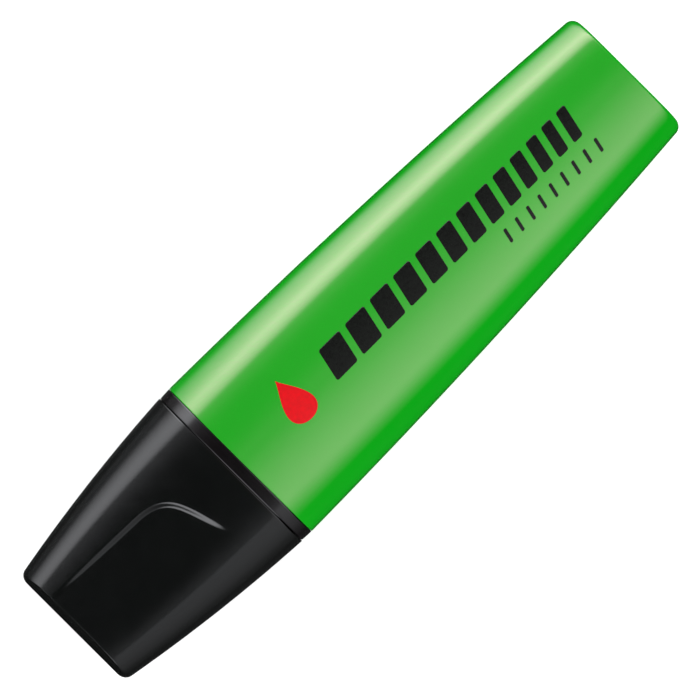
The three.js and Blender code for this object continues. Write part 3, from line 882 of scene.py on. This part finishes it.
def printing_ink(name, colour, dark):
    """Pad-printed ink: slightly uneven cover, duller than the plastic under it."""
    material, tree, output, place = new_material(name)
    cover = noise(tree, place, period=0.5, detail=4)
    tint = blend_colour(tree, spread(tree, cover, 0, 1), colour, dark)
    rough = spread(tree, cover, *INK_ROUGHNESS)
    shader = node(
        tree,
        "ShaderNodeBsdfPrincipled",
        {
            "Base Color": tint,
            "Roughness": rough,
            "Normal": bump(tree, cover, INK_DEPTH),
            "Specular IOR Level": INK_GLOSS,
        },
    )
    tree.links.new(shader.outputs[0], output.inputs["Surface"])
    return material


GREEN_GLOSS = (1.0, 0.59, 0.71)
BLACK_GLOSS = (0.95, 0.96, 1.0)

barrel_green = plastic(
    "barrel_green",
    (0.002, 0.374, 0.008),
    (0.001, 0.358, 0.0065),
    roughness=0.13,
    grain=0.22,
    grain_depth=0.0004,
    gloss_tint=GREEN_GLOSS,
)
cap_black = plastic(
    "cap_black",
    (0.0027, 0.0032, 0.0030),
    (0.0022, 0.0027, 0.0025),
    roughness=0.15,
    grain=0.24,
    grain_depth=0.006,
    gloss_tint=BLACK_GLOSS,
)
collar_black = plastic(
    "collar_black",
    (0.0030, 0.0022, 0.0026),
    (0.0026, 0.0019, 0.0022),
    roughness=0.14,
    grain=0.2,
    grain_depth=0.001,
    gloss_tint=BLACK_GLOSS,
)
liner_black = plastic(
    "liner_black",
    (0.010, 0.010, 0.011),
    (0.007, 0.007, 0.008),
    roughness=0.55,
    grain=0.3,
    grain_depth=0.004,
    gloss=0.3,
)
nib_felt = felt("nib_felt", (0.30, 0.80, 0.05), (0.16, 0.60, 0.03), fibre=0.12, depth=0.05)
inked_fibre = felt("inked_fibre", (0.22, 0.66, 0.05), (0.12, 0.48, 0.03), fibre=0.2, depth=0.06)
clear_film = clear_plastic("clear_film", (0.75, 0.82, 0.76), alpha=0.4, roughness=0.2)
clear_tube = clear_plastic("clear_tube", (0.7, 0.73, 0.7), alpha=0.6, roughness=0.3)
black_ink = printing_ink("black_ink", (0.002, 0.0025, 0.002), (0.004, 0.005, 0.004))
red_ink = printing_ink("red_ink", (0.78, 0.004, 0.010), (0.66, 0.006, 0.010))

# ---- The pen -------------------------------------------------------------------------------------

make_barrel(barrel_green)
make_barrel_ribs(barrel_green)
make_front_section(collar_black)
make_nib(nib_felt)
make_cap(cap_black)
make_inner_cap(liner_black)
make_print(red_ink, black_ink)

kept_cad_meshes = {  # hidden in the barrel, so they need only a look
    "ink_reservoir": inked_fibre,
    "reservoir_wrap": clear_film,
    "breather_tube": clear_tube,
}
for node_name, material in kept_cad_meshes.items():
    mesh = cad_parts[node_name].data
    mesh.materials.clear()
    mesh.materials.append(material)

# ---- Floor, lights, camera -----------------------------------------------------------------------

PHOTO_SPAN = 93.45  # what the picture shows from side to side, at the height of the pen's axis
CAMERA_HEIGHT = 1500
PEN_ANGLE = math.radians(45.1)  # the pen's lean in the picture
VIEW_OFFSET = (-0.032, -0.023)  # picture right and up, from the pen's middle to the picture's middle
SENSOR = 36
CLIP_M = (0.01, 20)

FLOOR_HALF = 3000
PAPER, PAPER_SHADE = (0.93, 0.93, 0.93), (0.91, 0.91, 0.91)
FLOOR_GLOW = 0.5
AMBIENT = 1.0
OVERHEAD = 0.1
OVERHEAD_SIZE_M = 1.6
OVERHEAD_HEIGHT_M = 1.6

# What gloss sees round the pen, from the barrel and from the tapering cap: (angle from straight up
# towards +Y, brightness).
BARREL_SIDES = (
    (-180, 0), (-72, 0), (-55, 1.2), (-30, 3.9), (-16, 5.0), (0, 1.2), (5, 0.5), (13, 0.5),
    (17, 2.2), (22, 6.0), (32, 10.2), (42, 13.2), (52, 14.8), (60, 12.8), (72, 9.9), (92, 6.0),
    (108, 2.8), (122, 0.5), (135, 0),
)
CAP_SIDES = (
    (-180, 0), (-120, 0.05), (-97, 0.28), (-80, 0.64), (-50, 1.02), (-19, 1.13), (-13.5, 0.04),
    (0, 0.02), (13, 0.02), (17, 0.9), (25, 4.1), (40, 4.6), (52, 4.1), (66, 2.75), (74, 1.8),
    (84, 0.6), (92, 0.32), (100, 0.36), (120, 0.05),
)
PEAK = 15  # a ramp holds each brightness as a share of this, so that its colours stay within 1

# The barrel narrows towards +X and the cap towards -X, so what each reflects lies a little to that
# side. These are the values of a direction's x over which the cap's lights give way to the barrel's,
# on the -Y and the +Y side of the pen, and the values of y over which one side gives way to the other.
CAP_TO_BARREL_MINUS_Y = (-0.07, -0.005)
CAP_TO_BARREL_PLUS_Y = (-0.015, 0.02)
MINUS_TO_PLUS_Y = (-0.1, 0.1)

# The values of x over which the side lights fade in from the cap's end, and fade out by the tail.
FADE_IN = (-0.9, 0)
FADE_OUT = (0.6, 0.95)
BELOW = 0.02
BELOW_FADE = (-0.3, 0.05)

# A soft round light high up past the cap's end, for the collar's rim and other edges that face it:
# degrees from straight up, degrees round from -X towards -Y, and its outer and inner radius.
END_LIGHT = {"level": 4.4, "lean": 54, "turn": 12, "outer": 27, "inner": 10}


def make_floor():
    material, tree, output, place = new_material("floor_paper")
    mottle = noise(tree, place, period=60, detail=3)
    tint = blend_colour(tree, spread(tree, mottle, 0, 1), PAPER, PAPER_SHADE)
    shader = node(
        tree,
        "ShaderNodeBsdfPrincipled",
        {
            "Base Color": tint,
            "Roughness": 0.9,
            "Specular IOR Level": 0.0,
            "Emission Color": (1, 1, 1, 1),
            "Emission Strength": FLOOR_GLOW,
        },
    )
    tree.links.new(shader.outputs[0], output.inputs["Surface"])
    corners = [(-1, -1), (1, -1), (1, 1), (-1, 1)]
    floor_points = [[x * FLOOR_HALF, y * FLOOR_HALF, 0] for x, y in corners]
    floor = mesh_piece("floor", floor_points, [[0, 1, 2, 3]])
    floor.data.materials.append(material)
    floor.visible_glossy = False


def maths(tree, operation, *values):
    return node(tree, "ShaderNodeMath", dict(enumerate(values)), operation=operation).outputs[0]


def profile(tree, angle, stops):
    """Brightness by the angle round the pen, from a list of (degrees, brightness)."""
    ramp = node(tree, "ShaderNodeValToRGB", {"Fac": angle})
    elements = ramp.color_ramp.elements
    elements.remove(elements[1])  # a new ramp has two stops, and the one at its start is kept
    for degrees, _ in stops[1:]:
        elements.new(degrees / 360 + 0.5)
    for element, (_, level) in zip(elements, stops):
        element.color = (level / PEAK,) * 3 + (1,)
    return maths(tree, "MULTIPLY", ramp.outputs["Color"], PEAK)


def spot(tree, direction, level, lean, turn, outer, inner):
    """Brightness of a soft round light, at most level, whose angles are in degrees."""
    lean, turn = math.radians(lean), math.radians(turn)
    towards = (
        -math.sin(lean) * math.cos(turn),
        -math.sin(lean) * math.sin(turn),
        math.cos(lean),
    )
    facing = node(
        tree, "ShaderNodeVectorMath", {0: direction, 1: towards}, operation="DOT_PRODUCT"
    ).outputs["Value"]
    edge, core = math.cos(math.radians(outer)), math.cos(math.radians(inner))
    return spread(tree, facing, 0, level, edge, core)


def make_world():
    """An even pale surround, except for gloss, which sees long soft lights beside the pen."""
    world = bpy.data.worlds.new("studio")
    bpy.context.scene.world = world
    world.use_nodes = True
    world.cycles.sampling_method = "NONE"
    tree = world.node_tree
    tree.nodes.clear()
    output = node(tree, "ShaderNodeOutputWorld")
    even = node(tree, "ShaderNodeBackground", {"Color": (1, 1, 1, 1), "Strength": AMBIENT})

    direction = node(tree, "ShaderNodeTexCoord").outputs["Generated"]
    x, y, z = node(tree, "ShaderNodeSeparateXYZ", {0: direction}).outputs
    turn = maths(tree, "DIVIDE", maths(tree, "ARCTAN2", y, z), 2 * math.pi)
    angle = maths(tree, "ADD", turn, 0.5)
    fade_in = spread(tree, x, 0, 1, *FADE_IN)
    fade_out = spread(tree, x, 1, 0, *FADE_OUT)
    reach = maths(tree, "MULTIPLY", fade_in, fade_out)
    on_barrel_minus = spread(tree, x, 0, 1, *CAP_TO_BARREL_MINUS_Y)
    on_barrel_plus = spread(tree, x, 0, 1, *CAP_TO_BARREL_PLUS_Y)
    on_plus = spread(tree, y, 0, 1, *MINUS_TO_PLUS_Y)
    on_barrel = spread(tree, on_plus, on_barrel_minus, on_barrel_plus, start=0, end=1)
    off_barrel = maths(tree, "SUBTRACT", 1, on_barrel)

    from_barrel = maths(tree, "MULTIPLY", profile(tree, angle, BARREL_SIDES), on_barrel)
    from_cap = maths(tree, "MULTIPLY", profile(tree, angle, CAP_SIDES), off_barrel)
    sides = maths(tree, "MULTIPLY", maths(tree, "ADD", from_barrel, from_cap), reach)
    below = spread(tree, z, BELOW, 0, *BELOW_FADE)
    end_light = spot(tree, direction, **END_LIGHT)

    total = maths(tree, "ADD", maths(tree, "ADD", sides, below), end_light)
    seen_in_gloss = node(tree, "ShaderNodeBackground", {"Color": (1, 1, 1, 1), "Strength": total})
    glossy = node(tree, "ShaderNodeLightPath").outputs["Is Glossy Ray"]
    both = node(
        tree,
        "ShaderNodeMixShader",
        {0: glossy, 1: even.outputs[0], 2: seen_in_gloss.outputs[0]},
    )
    tree.links.new(both.outputs[0], output.inputs["Surface"])


def make_overhead_light():
    """A wide soft light above the pen, which gives the floor its faint shadow."""
    light = bpy.data.lights.new("overhead", "AREA")
    light.shape = "SQUARE"
    light.size = OVERHEAD_SIZE_M
    light.energy = OVERHEAD * math.pi**2 * OVERHEAD_HEIGHT_M**2
    lamp = bpy.data.objects.new("overhead", light)
    bpy.context.scene.collection.objects.link(lamp)
    lamp.location = (0, 0, OVERHEAD_HEIGHT_M)
    lamp.visible_camera = False
    lamp.visible_glossy = False


def make_camera():
    camera = bpy.data.cameras.new("camera")
    camera.sensor_width = SENSOR
    camera.lens = SENSOR * CAMERA_HEIGHT / PHOTO_SPAN
    camera.clip_start, camera.clip_end = CLIP_M
    holder = bpy.data.objects.new("camera", camera)
    bpy.context.scene.collection.objects.link(holder)
    right = np.array([math.cos(PEN_ANGLE), -math.sin(PEN_ANGLE), 0])
    up = np.array([math.sin(PEN_ANGLE), math.cos(PEN_ANGLE), 0])
    place = VIEW_OFFSET[0] * right + VIEW_OFFSET[1] * up + [0, 0, AXIS_Z + CAMERA_HEIGHT]
    holder.location = place * MM
    holder.rotation_euler = (0, 0, -PEN_ANGLE)
    bpy.context.scene.camera = holder


make_floor()
make_world()
make_overhead_light()
make_camera()
bpy.context.scene.view_settings.view_transform = "Standard"
